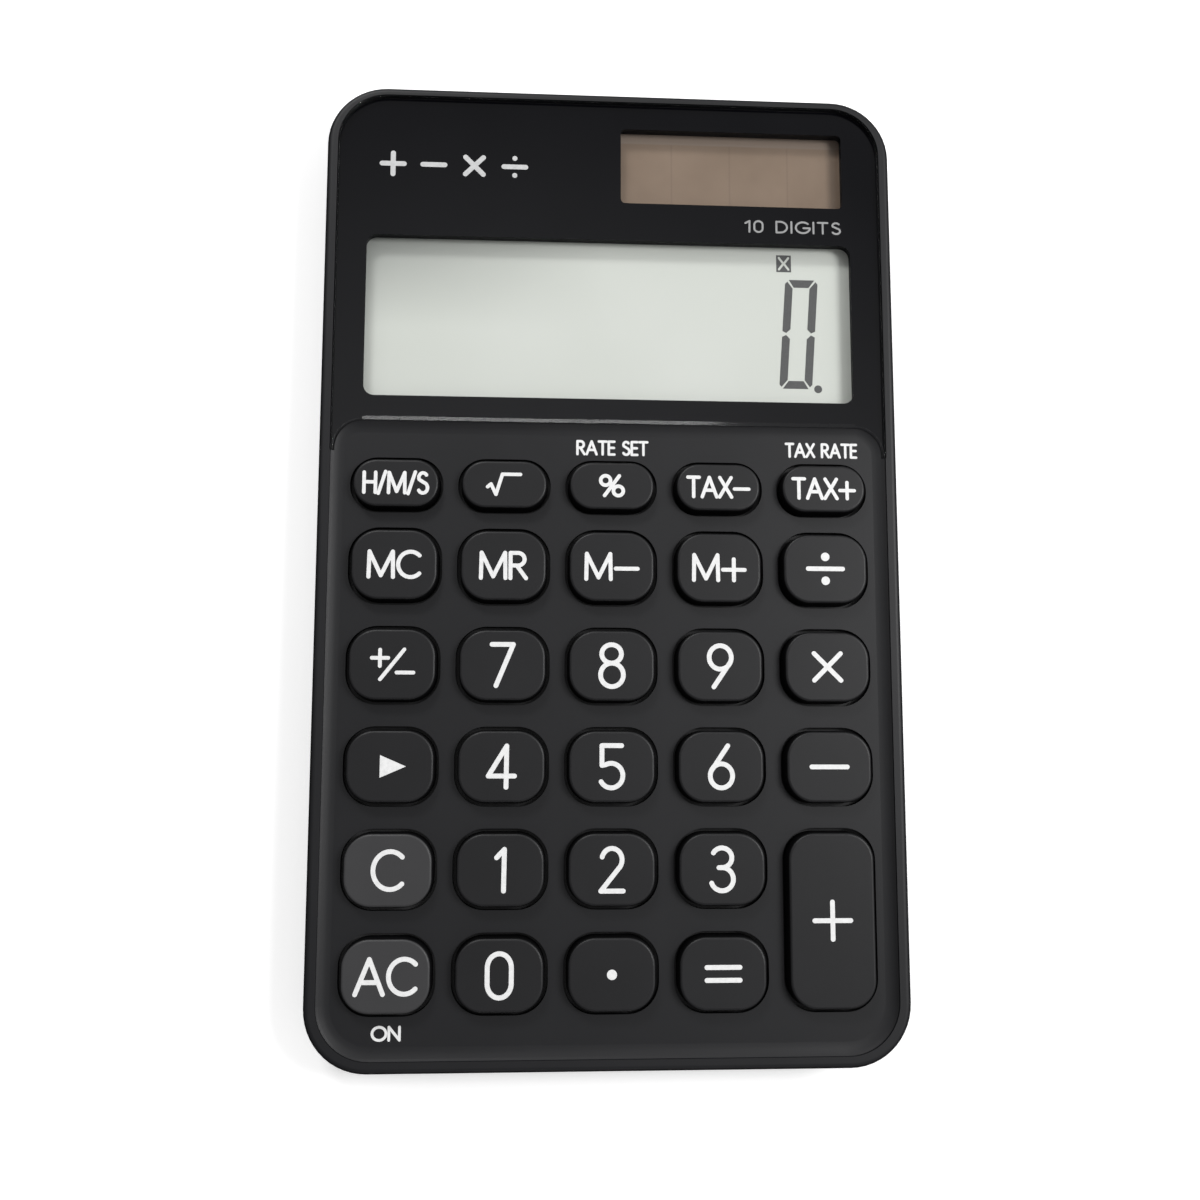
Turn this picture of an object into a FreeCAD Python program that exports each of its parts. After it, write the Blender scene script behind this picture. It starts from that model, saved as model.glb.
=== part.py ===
import FreeCAD, Part
import math
import os

import Sketcher

# Pocket calculator in millimetres. +Z is up out of the keys, +Y runs towards the display end and
# +X to the right. The origin is the middle of the underside.

DIMENSIONS = {
    # middle line, then the outside of the case
    "origin_x": 0.0,
    "case_width": 70.0,
    "case_length": 118.0,
    "case_corner": 7.3,
    "parting_level": 3.4,
    "rim_level": 7.4,
    "rim_round": 0.7,
    "base_round": 1.3,
    # front case
    "front_wall": 1.3,
    "face_level": 6.6,
    "face_under": 5.4,
    "display_under": 5.0,
    "keypad_half": 33.6,
    "keypad_top": 16.8,
    "keypad_foot": 57.6,
    "keypad_foot_corner": 6.1,
    "keypad_top_corner": 3.4,
    "keypad_step": 0.4,
    "dish_angle": 65.0,
    "dish_round": 3.0,
    "key_room_top": 15.6,
    # key grid
    "column_pitch": 12.85,
    "row_pitch": 11.8,
    "top_row": 8.9,
    "second_row": -0.9,
    "opening_width": 11.1,
    "opening_length": 9.3,
    "opening_corner": 3.7,
    "pill_length": 6.7,
    "pill_corner": 3.25,
    # keys
    "key_level": 8.0,
    "key_gap": 0.36,
    "key_draft": 3.0,
    "key_round": 0.35,
    "flange_low": 4.85,
    "flange_thick": 0.5,
    "flange_ledge": 0.65,
    "hollow_depth": 1.7,
    "key_wall": 1.3,
    "post_radius": 1.3,
    # display plate and its mask
    "panel_half": 33.6,
    "panel_top": 57.9,
    "panel_corner": 6.0,
    "panel_horn": 13.1,
    "horn_width": 0.3,
    "panel_fit": 0.1,
    "panel_low": 6.6,
    "panel_thick": 0.8,
    "panel_edge": 0.12,
    "panel_lip": 0.35,
    "mask_thick": 0.1,
    "mask_inset": 0.05,
    # windows
    "screen_width": 60.0,
    "screen_length": 20.3,
    "screen_corner": 1.3,
    "screen_y": 30.1,
    "sun_width": 27.9,
    "sun_length": 9.7,
    "sun_corner": 0.6,
    "sun_x": 15.15,
    "sun_y": 49.95,
    "window_relief": 0.2,
    # display stack
    "polariser_width": 62.0,
    "polariser_length": 22.2,
    "polariser_thick": 0.2,
    "glass_half": 31.8,
    "glass_thick": 0.7,
    "glass_foot": 16.2,
    "rear_glass_foot": 18.9,
    "glass_top": 41.8,
    "reflector_width": 62.0,
    "reflector_length": 21.8,
    "reflector_y": 30.35,
    "reflector_thick": 0.25,
    "stack_gap": 0.05,
    "holder_half": 32.6,
    "holder_foot": 18.7,
    "holder_top": 42.9,
    "holder_low": 2.3,
    "holder_floor": 0.75,
    "holder_wall": 0.6,
    "holder_height": 2.6,
    "strip_width": 60.0,
    "strip_length": 1.6,
    "strip_y": 17.2,
    # solar cell
    "cell_width": 29.6,
    "cell_length": 11.3,
    "cell_thick": 1.1,
    # board, sheet and small parts
    "board_half": 32.3,
    "board_foot": 56.4,
    "board_top": 18.2,
    "board_corner": 4.5,
    "board_low": 2.5,
    "board_thick": 0.8,
    "sheet_half": 32.0,
    "sheet_foot": 56.2,
    "sheet_top": 15.0,
    "sheet_corner": 4.2,
    "sheet_thick": 0.45,
    "dome_height": 1.5,
    "dome_foot_radius": 3.7,
    "dome_top_radius": 2.2,
    "dome_skin": 0.35,
    "pill_radius": 1.5,
    "pill_thick": 0.3,
    "blob_radius": 4.2,
    "blob_thick": 1.0,
    "blob_round": 0.8,
    "blob_y": 2.5,
    "capacitor_width": 2.0,
    "capacitor_length": 1.25,
    "capacitor_thick": 0.9,
    "capacitor_pitch": 6.0,
    "capacitor_y": 12.5,
    "edge_corner": 0.8,
    # screws
    "boss_low": 2.4,
    "boss_radius": 2.0,
    "board_boss_radius": 1.5,
    "boss_room": 0.3,
    "screw_radius": 0.98,
    "screw_bore": 1.0,
    "screw_length": 4.0,
    "head_radius": 1.8,
    "head_thick": 0.8,
    "head_seat": 1.0,
    "head_seat_radius": 2.0,
    "screw_hole": 1.15,
    "small_screw_radius": 0.78,
    "small_screw_bore": 0.8,
    "small_screw_length": 2.3,
    "small_head_radius": 1.4,
    "small_head_thick": 0.6,
    "recess_long": 1.9,
    "recess_wide": 0.4,
    "recess_depth": 0.4,
    # rear cover
    "rear_wall": 2.2,
    "floor_thick": 1.2,
    "lip_fit": 0.1,
    "lip_height": 0.8,
    "post_level": 2.35,
    "post_outer_radius": 2.6,
    "rib_wide": 1.0,
    "rib_long": 18.0,
    "holder_rib_level": 2.25,
    "sun_rib_level": 3.8,
    # button cell and its contacts
    "battery_x": -16.5,
    "battery_y": 49.9,
    "battery_radius": 5.8,
    "battery_thick": 3.05,
    "battery_low": 1.5,
    "battery_step": 0.3,
    "battery_face_radius": 4.9,
    "ring_inner": 6.0,
    "ring_outer": 6.8,
    "ring_level": 4.4,
    "contact_thick": 0.2,
    "contact_wide": 4.0,
    "contact_low": 1.22,
    "contact_tail": 39.5,
    "dimple_radius": 1.0,
    "battery_round": 0.5,
    "upper_contact_low": 4.6,
    "upper_contact_end": 27.5,
    "slot_wide": 5.0,
    # wires
    "wire_radius": 0.35,
    "wire_level": 1.8,
    "wire_end": 17.0,
    "sun_wire_start": 45.2,
    "low_wire_start": 41.5,
    "sun_wire_x": 12.0,
    "sun_wire_gap": 2.4,
    "low_wire_x": -16.5,
    "high_wire_x": -26.0,
}

FORMULAS = {
    "case_half": "=case_width / 2",
    "case_end": "=case_length / 2",
    "front_height": "=rim_level - parting_level",
    "room_half": "=case_half - front_wall",
    "room_end": "=case_end - front_wall",
    "room_corner": "=case_corner - front_wall",
    "room_height": "=display_under - parting_level",
    "key_room_height": "=face_under - display_under",
    "dish_level": "=rim_level - keypad_step",
    "dish_depth": "=dish_level - face_level",
    "recess_half": "=panel_half + panel_fit",
    "recess_top": "=panel_top + panel_fit",
    "recess_foot": "=keypad_top - panel_fit",
    "recess_horn": "=panel_horn - panel_fit",
    "recess_inner": "=panel_half - horn_width - panel_fit",
    "recess_corner": "=panel_corner + panel_fit",
    "lip_level": "=rim_level - panel_lip",
    "lip_back": "=keypad_top + panel_lip",
    "lip_length": "=2 * (panel_inner - keypad_top_corner)",
    "recess_level": "=panel_low - mask_thick",
    "recess_sink": "=rim_level - recess_level",
    "panel_inner": "=panel_half - horn_width",
    "mask_half": "=panel_half - mask_inset",
    "mask_inner": "=panel_inner + mask_inset",
    "mask_foot": "=keypad_top + mask_inset",
    "mask_horn": "=panel_horn + mask_inset",
    "mask_top": "=panel_top - mask_inset",
    "mask_inner_corner": "=keypad_top_corner + mask_inset",
    "mask_corner": "=panel_corner - mask_inset",
    "through": "=rim_level",
    "opening_half": "=opening_width / 2",
    "opening_end": "=opening_length / 2",
    "tall_end": "=(opening_length + row_pitch) / 2",
    "tall_y": "=second_row - 3.5 * row_pitch",
    "pill_end": "=pill_length / 2",
    "grid_width": "=4 * column_pitch",
    "grid_length": "=4 * row_pitch",
    "first_column": "=-2 * column_pitch",
    "last_column": "=2 * column_pitch",
    "last_row": "=second_row - 4 * row_pitch",
    "screen_half": "=screen_width / 2",
    "screen_end": "=screen_length / 2",
    "sun_half": "=sun_width / 2",
    "sun_end": "=sun_length / 2",
    "screen_cut_half": "=screen_half + window_relief",
    "screen_cut_end": "=screen_end + window_relief",
    "sun_cut_half": "=sun_half + window_relief",
    "sun_cut_end": "=sun_end + window_relief",
    "cap_half": "=opening_half - key_gap",
    "cap_end": "=opening_end - key_gap",
    "cap_corner": "=opening_corner - key_gap",
    "cap_pill_end": "=pill_end - key_gap",
    "cap_pill_corner": "=pill_corner - key_gap",
    "cap_tall_end": "=tall_end - key_gap",
    "cap_low": "=flange_low + flange_thick",
    "cap_height": "=key_level - cap_low",
    "flange_half": "=cap_half + flange_ledge",
    "flange_end": "=cap_end + flange_ledge",
    "flange_corner": "=cap_corner + flange_ledge",
    "flange_pill_end": "=cap_pill_end + flange_ledge",
    "flange_pill_corner": "=cap_pill_corner + flange_ledge",
    "flange_tall_end": "=cap_tall_end + flange_ledge",
    "hollow_half": "=cap_half - key_wall",
    "hollow_end": "=cap_end - key_wall",
    "hollow_corner": "=cap_corner - key_wall",
    "hollow_pill_end": "=cap_pill_end - key_wall",
    "hollow_pill_corner": "=cap_pill_corner - key_wall",
    "hollow_tall_end": "=cap_tall_end - key_wall",
    "tall_post": "=row_pitch / 2",
    "polariser_level": "=display_under - stack_gap - polariser_thick",
    "polariser_half": "=polariser_width / 2",
    "polariser_end": "=polariser_length / 2",
    "front_glass_low": "=polariser_level - glass_thick",
    "rear_glass_low": "=front_glass_low - glass_thick",
    "reflector_low": "=rear_glass_low - reflector_thick",
    "reflector_half": "=reflector_width / 2",
    "reflector_end": "=reflector_length / 2",
    "holder_inner": "=holder_half - holder_wall",
    "holder_level": "=holder_low + holder_height",
    "tray_foot": "=holder_foot - 1",
    "holder_inner_top": "=holder_top - holder_wall",
    "holder_depth": "=holder_height - holder_floor",
    "board_level": "=board_low + board_thick",
    "strip_half": "=strip_width / 2",
    "strip_end": "=strip_length / 2",
    "strip_thick": "=front_glass_low - board_level",
    "cell_half": "=cell_width / 2",
    "cell_end": "=cell_length / 2",
    "cell_low": "=display_under - stack_gap - cell_thick",
    "dome_inner_foot": "=dome_foot_radius - dome_skin",
    "dome_inner_top": "=dome_top_radius - dome_skin",
    "dome_inner_height": "=dome_height - dome_skin",
    "sheet_level": "=board_level + sheet_thick",
    "pill_low": "=board_level + dome_inner_height - pill_thick",
    "blob_low": "=board_low - blob_thick",
    "capacitor_low": "=board_low - capacitor_thick",
    "capacitor_half": "=capacitor_width / 2",
    "capacitor_end": "=capacitor_length / 2",
    "capacitor_span": "=2 * capacitor_pitch",
    "boss_height": "=face_under - boss_low",
    "board_boss_height": "=face_under - board_level",
    "case_bore_depth": "=screw_length + head_seat - boss_low + 0.1",
    "board_bore_depth": "=small_screw_length - board_thick + 0.1",
    "boss_room_radius": "=boss_radius + boss_room",
    "board_boss_room_radius": "=board_boss_radius + boss_room",
    "board_hole_radius": "=small_screw_radius + 0.12",
    "head_low": "=head_seat - head_thick",
    "small_head_low": "=board_low - small_head_thick",
    "recess_long_half": "=recess_long / 2",
    "recess_wide_half": "=recess_wide / 2",
    "rear_room_half": "=case_half - rear_wall",
    "rear_room_end": "=case_end - rear_wall",
    "rear_room_corner": "=case_corner - rear_wall",
    "rear_room_depth": "=parting_level - floor_thick",
    "lip_half": "=room_half - lip_fit",
    "lip_end": "=room_end - lip_fit",
    "lip_corner": "=room_corner - lip_fit",
    "post_height": "=post_level - floor_thick / 2",
    "floor_half_level": "=floor_thick / 2",
    "ring_height": "=ring_level - floor_half_level",
    "holder_rib_height": "=holder_rib_level - floor_half_level",
    "sun_rib_height": "=sun_rib_level - floor_half_level",
    "rib_half": "=rib_long / 2",
    "rib_end": "=rib_wide / 2",
    "battery_body_low": "=battery_low + battery_step",
    "battery_body_thick": "=battery_thick - battery_step",
    "slot_half": "=slot_wide / 2",
    "ring_foot": "=battery_y - ring_outer - 0.2",
    "slot_top": "=battery_y - 3",
    "slot_left": "=battery_x - slot_half",
    "slot_right": "=battery_x + slot_half",
    "contact_left": "=battery_x - contact_wide / 2",
    "contact_right": "=battery_x + contact_wide / 2",
    "contact_head": "=battery_y + 3.5",
    "contact_dimple": "=battery_low - contact_low - contact_thick",
    "contact_level": "=contact_low + contact_thick",
    "upper_contact_foot": "=battery_y - contact_wide / 2",
    "upper_contact_head": "=battery_y + contact_wide / 2",
    "upper_contact_right": "=battery_x + 3.5",
    "upper_contact_drop": "=upper_contact_low - battery_low - battery_thick",
    "battery_level": "=battery_low + battery_thick",
    "rib_low_y": "=screen_y - 5",
    "rib_high_y": "=screen_y + 7",
    "sun_rib_low_y": "=sun_y - 1",
    "sun_rib_high_y": "=sun_y + 4",
    "ring_slot_depth": "=ring_level - floor_thick",
    "sun_wire_left": "=sun_wire_x - sun_wire_gap / 2",
    "sun_wire_right": "=sun_wire_x + sun_wire_gap / 2",
}

# case screws, then board screws, as steps of the key grid from the middle of the second row
CASE_SCREWS_IN_GRID = [(-1.5, 0.5), (1.5, 0.5)]
BOARD_SCREWS_IN_GRID = [(-0.5, 1.5), (0.5, 1.5), (-1.5, 2.5), (1.5, 2.5), (-0.5, 3.5), (0.5, 3.5)]
OTHER_CASE_SCREWS = [(-29.6, 52.6), (-2.6, 52.6), (-19.35, -54.6), (19.35, -54.6)]

# keys from the left; the grid rows run from the second row down, and the last one in the
# right-hand column is as tall as two rows
COLUMNS = 5
ROWS = 5
TOP_ROW_KEYS = ["key_time", "key_root", "key_percent", "key_tax_minus", "key_tax_plus"]
GRID_KEYS = [
    ["key_memory_clear", "key_memory_recall", "key_memory_minus", "key_memory_plus", "key_divide"],
    ["key_sign", "key_7", "key_8", "key_9", "key_multiply"],
    ["key_backspace", "key_4", "key_5", "key_6", "key_minus"],
    ["key_clear", "key_1", "key_2", "key_3", None],
    ["key_all_clear", "key_0", "key_point", "key_equals", None],
]

document = FreeCAD.newDocument("calculator")


def make_sheet():
    """Put every driving dimension and every formula in one sheet under its own name."""
    sheet = document.addObject("Spreadsheet::Sheet", "Dims")
    entries = dict(DIMENSIONS)
    for index, (column, row) in enumerate(OTHER_CASE_SCREWS):
        entries[f"case_screw_{index}_x"] = column
        entries[f"case_screw_{index}_y"] = row
    entries.update(FORMULAS)
    offset = len(OTHER_CASE_SCREWS)
    for index, (column, row) in enumerate(CASE_SCREWS_IN_GRID):
        entries[f"case_screw_{index + offset}_x"] = f"=column_pitch * {column}"
        entries[f"case_screw_{index + offset}_y"] = f"=second_row - row_pitch * {row}"
    for index, (column, row) in enumerate(BOARD_SCREWS_IN_GRID):
        entries[f"board_screw_{index}_x"] = f"=column_pitch * {column}"
        entries[f"board_screw_{index}_y"] = f"=second_row - row_pitch * {row}"
    for line, (name, entry) in enumerate(entries.items(), 1):
        sheet.set(f"A{line}", name)
        sheet.set(f"B{line}", str(entry))
        sheet.setAlias(f"B{line}", name)
    document.recompute()
    return sheet


SHEET = make_sheet()
CASE_SCREWS = range(len(OTHER_CASE_SCREWS) + len(CASE_SCREWS_IN_GRID))
GRID_CASE_SCREWS = [2, 3, 4, 5]
BOARD_SCREWS = range(len(BOARD_SCREWS_IN_GRID))


def formula(name):
    """The expression that ties a property to a named dimension; a leading minus negates it."""
    if name.startswith("-"):
        return "-Dims." + name[1:]
    return "Dims." + name


def number(name):
    if name.startswith("-"):
        return -float(SHEET.get(name[1:]))
    return float(SHEET.get(name))


def new_body(label):
    body = document.addObject("PartDesign::Body", label)
    body.Label = label
    return body


def origin_plane(body, role):
    for feature in body.Origin.OriginFeatures:
        if feature.Role == role:
            return feature
    raise RuntimeError(f"{body.Label} has no {role}")


def new_sketch(body, name, level=None, middle=None, role="XY_Plane"):
    """An empty sketch on one of the body's own planes, lifted to a level and moved to a middle."""
    sketch = body.newObject("Sketcher::SketchObject", f"{body.Label}_{name}")
    sketch.AttachmentSupport = [(origin_plane(body, role), "")]
    sketch.MapMode = "FlatFace"
    if level:
        sketch.setExpression("AttachmentOffset.Base.z", formula(level))
    if middle:
        sketch.setExpression("AttachmentOffset.Base.x", formula(middle[0]))
        sketch.setExpression("AttachmentOffset.Base.y", formula(middle[1]))
    return sketch


def tie(sketch, constraint, name):
    index = sketch.addConstraint(constraint)
    sketch.setExpression(f"Constraints[{index}]", formula(name))


def draw_outline(sketch, corners):
    """Close a square-cornered outline; each corner is (x, y) or (x, y, radius) by dimension name."""
    points = [FreeCAD.Vector(number(c[0]), number(c[1]), 0) for c in corners]
    radii = [number(c[2]) if len(c) > 2 else 0.0 for c in corners]
    count = len(points)
    lines = []
    for index in range(count):
        after = (index + 1) % count
        along = (points[after] - points[index]).normalize()
        start = points[index] + along * radii[index]
        finish = points[after] - along * radii[after]
        lines.append(sketch.addGeometry(Part.LineSegment(start, finish), False))
        if abs(along.x) > abs(along.y):
            sketch.addConstraint(Sketcher.Constraint("Horizontal", lines[-1]))
            place = Sketcher.Constraint("DistanceY", -1, 1, lines[-1], 1, start.y)
            tie(sketch, place, corners[index][1])
        else:
            sketch.addConstraint(Sketcher.Constraint("Vertical", lines[-1]))
            place = Sketcher.Constraint("DistanceX", -1, 1, lines[-1], 1, start.x)
            tie(sketch, place, corners[index][0])
    for index in range(count):
        before = lines[index - 1]
        here = lines[index]
        if not radii[index]:
            sketch.addConstraint(Sketcher.Constraint("Coincident", before, 2, here, 1))
            continue
        into = (points[index] - points[index - 1]).normalize()
        out = (points[(index + 1) % count] - points[index]).normalize()
        radius = radii[index]
        centre = points[index] - into * radius + out * radius
        circle = Part.Circle(centre, FreeCAD.Vector(0, 0, 1), radius)
        first = math.atan2(-out.y, -out.x)
        last = math.atan2(into.y, into.x)
        left_turn = into.cross(out).z > 0
        if left_turn:
            arc = sketch.addGeometry(Part.ArcOfCircle(circle, first, last), False)
            ends = (1, 2)
        else:
            arc = sketch.addGeometry(Part.ArcOfCircle(circle, last, first), False)
            ends = (2, 1)
        sketch.addConstraint(Sketcher.Constraint("Tangent", before, 2, arc, ends[0]))
        sketch.addConstraint(Sketcher.Constraint("Tangent", arc, ends[1], here, 1))
        tie(sketch, Sketcher.Constraint("Radius", arc, radius), corners[index][2])
    return sketch


def box_corners(left, right, foot, top, foot_corner=None, top_corner=None):
    """Corners of a box, anticlockwise from the lower left one, for draw_outline."""
    low = (foot_corner,) if foot_corner else ()
    high = (top_corner,) if top_corner else ()
    return [(left, foot) + low, (right, foot) + low, (right, top) + high, (left, top) + high]


def block_corners(half, end, corner=None):
    """A box about the sketch's own middle."""
    return box_corners("-" + half, half, "-" + end, end, corner, corner)


def draw_circles(sketch, radius, places=None):
    """Circles of one radius at (x, y) dimension names, or one at the sketch's own middle."""
    size = number(radius)
    for x, y in places or [(None, None)]:
        centre = FreeCAD.Vector(number(x) if x else 0, number(y) if y else 0, 0)
        ring = sketch.addGeometry(Part.Circle(centre, FreeCAD.Vector(0, 0, 1), size), False)
        tie(sketch, Sketcher.Constraint("Radius", ring, size), radius)
        if x:
            tie(sketch, Sketcher.Constraint("DistanceX", -1, 1, ring, 3, centre.x), x)
            tie(sketch, Sketcher.Constraint("DistanceY", -1, 1, ring, 3, centre.y), y)
        else:
            sketch.addConstraint(Sketcher.Constraint("Coincident", ring, 3, -1, 1))
    return sketch


def screw_places(kind, indices):
    return [(f"{kind}_screw_{index}_x", f"{kind}_screw_{index}_y") for index in indices]


def pad(body, sketch, length, draft=None):
    """Raise a sketch upwards; a draft makes it narrower towards the top."""
    feature = body.newObject("PartDesign::Pad", sketch.Name + "_pad")
    feature.Profile = sketch
    feature.setExpression("Length", formula(length))
    if draft:
        feature.setExpression("TaperAngle", formula("-" + draft))
    document.recompute()
    return feature


def pocket(body, sketch, length, upwards=False, draft=None, both_ways=False):
    """Cut a sketch down into the body, upwards or both ways, and make sure that it cut something."""
    before = body.Tip.Shape.Volume
    feature = body.newObject("PartDesign::Pocket", sketch.Name + "_pocket")
    feature.Profile = sketch
    feature.setExpression("Length", formula(length))
    feature.Reversed = upwards
    feature.Midplane = both_ways
    if draft:
        feature.setExpression("TaperAngle", formula("-" + draft))
    document.recompute()
    if feature.Shape.Volume > before - 1e-4:
        raise RuntimeError(f"{feature.Name} cut nothing")
    return feature


def edges_at(shape, level):
    """Names of the edges that lie flat at one level."""
    names = []
    for index, edge in enumerate(shape.Edges, 1):
        box = edge.BoundBox
        if abs(box.ZMin - level) < 1e-4 and abs(box.ZMax - level) < 1e-4:
            names.append(f"Edge{index}")
    return names


def round_edges(body, names, radius):
    base = body.Tip
    feature = body.newObject("PartDesign::Fillet", f"{body.Label}_round")
    feature.Base = (base, names)
    feature.setExpression("Radius", formula(radius))
    document.recompute()
    return feature


def repeat(body, feature, length, count, down=None, rows=1):
    """Repeat one feature over the key grid, to the right and, when down is given, downwards."""
    axes = {f.Role: f for f in body.Origin.OriginFeatures}
    pattern = body.newObject("PartDesign::LinearPattern", feature.Name + "_grid")
    pattern.Originals = [feature]
    pattern.Direction = (axes["X_Axis"], [""])
    pattern.setExpression("Length", formula(length))
    pattern.Occurrences = count
    if down:
        pattern.Direction2 = (axes["Y_Axis"], [""])
        pattern.setExpression("Length2", formula(down))
        pattern.Occurrences2 = rows
    body.Tip = pattern
    document.recompute()
    return pattern


def panel_corners(half, inner, foot, horn, top, inner_corner, corner):
    """The display plate's outline: a box with the keypad's rounded corners cut from its foot."""
    return [
        ("-" + half, horn),
        ("-" + inner, horn),
        ("-" + inner, foot, inner_corner),
        (inner, foot, inner_corner),
        (inner, horn),
        (half, horn),
        (half, top, corner),
        ("-" + half, top, corner),
    ]


def add_openings(body):
    """Cut the 25 grid openings, join the last two into the tall one, then cut the top row."""
    grid = new_sketch(body, "grid_opening", "rim_level", ("first_column", "last_row"))
    draw_outline(grid, block_corners("opening_half", "opening_end", "opening_corner"))
    repeat(body, pocket(body, grid, "through"), "grid_width", COLUMNS, "grid_length", ROWS)
    tall = new_sketch(body, "tall_opening", "rim_level", ("last_column", "tall_y"))
    draw_outline(tall, block_corners("opening_half", "tall_end", "opening_corner"))
    pocket(body, tall, "through")
    top = new_sketch(body, "top_opening", "rim_level", ("first_column", "top_row"))
    draw_outline(top, block_corners("opening_half", "pill_end", "pill_corner"))
    repeat(body, pocket(body, top, "through"), "grid_width", COLUMNS)


def add_windows(body, level, depth, relief):
    """Cut the display window and the solar window."""
    names = ("screen_cut", "sun_cut") if relief else ("screen", "sun")
    middles = (("origin_x", "screen_y"), ("sun_x", "sun_y"))
    corners = ("screen_corner", "sun_corner")
    for name, middle, corner in zip(names, middles, corners):
        sketch = new_sketch(body, name, level)
        if middle[0] != "origin_x":
            sketch.setExpression("AttachmentOffset.Base.x", formula(middle[0]))
        sketch.setExpression("AttachmentOffset.Base.y", formula(middle[1]))
        draw_outline(sketch, block_corners(f"{name}_half", f"{name}_end", corner))
        pocket(body, sketch, depth)


def add_bosses(body):
    """Screw bosses that hang from the face, each with its bore."""
    sketch = new_sketch(body, "case_bosses", "boss_low")
    pad(body, draw_circles(sketch, "boss_radius", screw_places("case", CASE_SCREWS)), "boss_height")
    sketch = new_sketch(body, "board_bosses", "board_level")
    draw_circles(sketch, "board_boss_radius", screw_places("board", BOARD_SCREWS))
    pad(body, sketch, "board_boss_height")
    sketch = new_sketch(body, "case_bores", "boss_low")
    draw_circles(sketch, "screw_bore", screw_places("case", CASE_SCREWS))
    pocket(body, sketch, "case_bore_depth", upwards=True)
    sketch = new_sketch(body, "board_bores", "board_level")
    draw_circles(sketch, "small_screw_bore", screw_places("board", BOARD_SCREWS))
    pocket(body, sketch, "board_bore_depth", upwards=True)


def make_front_case():
    body = new_body("front_case")
    sketch = new_sketch(body, "outline", "parting_level")
    draw_outline(sketch, block_corners("case_half", "case_end", "case_corner"))
    outer = pad(body, sketch, "front_height")
    round_edges(body, edges_at(outer.Shape, number("rim_level")), "rim_round")
    sketch = new_sketch(body, "room", "parting_level")
    draw_outline(sketch, block_corners("room_half", "room_end", "room_corner"))
    pocket(body, sketch, "room_height", upwards=True)
    sketch = new_sketch(body, "key_room", "display_under")
    corners = box_corners("-room_half", "room_half", "-room_end", "key_room_top", "room_corner")
    draw_outline(sketch, corners)
    pocket(body, sketch, "key_room_height", upwards=True)
    keypad = box_corners(
        "-keypad_half",
        "keypad_half",
        "-keypad_foot",
        "keypad_top",
        "keypad_foot_corner",
        "keypad_top_corner",
    )
    step = draw_outline(new_sketch(body, "keypad_step", "rim_level"), keypad)
    pocket(body, step, "keypad_step")
    dish = draw_outline(new_sketch(body, "dish", "dish_level"), keypad)
    cut = pocket(body, dish, "dish_depth", draft="dish_angle")
    floor = number("face_level")
    round_edges(body, edges_at(cut.Shape, floor), "dish_round")
    sketch = new_sketch(body, "panel_recess", "rim_level")
    outline = panel_corners(
        "recess_half",
        "recess_inner",
        "recess_foot",
        "recess_horn",
        "recess_top",
        "keypad_top_corner",
        "recess_corner",
    )
    pocket(body, draw_outline(sketch, outline), "recess_sink")
    add_openings(body)
    add_windows(body, "rim_level", "through", relief=True)
    add_bosses(body)
    return body


def make_rear_cover():
    body = new_body("rear_cover")
    sketch = new_sketch(body, "outline")
    draw_outline(sketch, block_corners("case_half", "case_end", "case_corner"))
    outer = pad(body, sketch, "parting_level")
    round_edges(body, edges_at(outer.Shape, 0.0), "base_round")
    sketch = new_sketch(body, "room", "parting_level")
    draw_outline(sketch, block_corners("rear_room_half", "rear_room_end", "rear_room_corner"))
    pocket(body, sketch, "rear_room_depth")
    sketch = new_sketch(body, "lip", "parting_level")
    draw_outline(sketch, block_corners("lip_half", "lip_end", "lip_corner"))
    draw_outline(sketch, block_corners("rear_room_half", "rear_room_end", "rear_room_corner"))
    pad(body, sketch, "lip_height")
    places = screw_places("case", CASE_SCREWS)
    sketch = new_sketch(body, "posts", "floor_half_level")
    pad(body, draw_circles(sketch, "post_outer_radius", places), "post_height")
    sketch = new_sketch(body, "battery_ring", "floor_half_level", ("battery_x", "battery_y"))
    draw_circles(sketch, "ring_outer")
    draw_circles(sketch, "ring_inner")
    pad(body, sketch, "ring_height")
    for name, x, y, height in (
        ("holder_rib_low", None, "rib_low_y", "holder_rib_height"),
        ("holder_rib_high", None, "rib_high_y", "holder_rib_height"),
        ("sun_rib_low", "sun_x", "sun_rib_low_y", "sun_rib_height"),
        ("sun_rib_high", "sun_x", "sun_rib_high_y", "sun_rib_height"),
    ):
        sketch = new_sketch(body, name, "floor_half_level")
        if x:
            sketch.setExpression("AttachmentOffset.Base.x", formula(x))
        sketch.setExpression("AttachmentOffset.Base.y", formula(y))
        draw_outline(sketch, block_corners("rib_half", "rib_end"))
        pad(body, sketch, height)
    sketch = new_sketch(body, "ring_slot", "ring_level")
    draw_outline(sketch, box_corners("slot_left", "slot_right", "ring_foot", "slot_top"))
    pocket(body, sketch, "ring_slot_depth")
    sketch = new_sketch(body, "screw_holes")
    pocket(body, draw_circles(sketch, "screw_hole", places), "through", upwards=True)
    sketch = new_sketch(body, "head_seats")
    pocket(body, draw_circles(sketch, "head_seat_radius", places), "head_seat", upwards=True)
    return body


def make_plate(label, corners, low, thick, middle=None):
    """A flat piece with one outline."""
    body = new_body(label)
    sketch = new_sketch(body, "outline", low, middle)
    pad(body, draw_outline(sketch, corners), thick)
    return body


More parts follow.
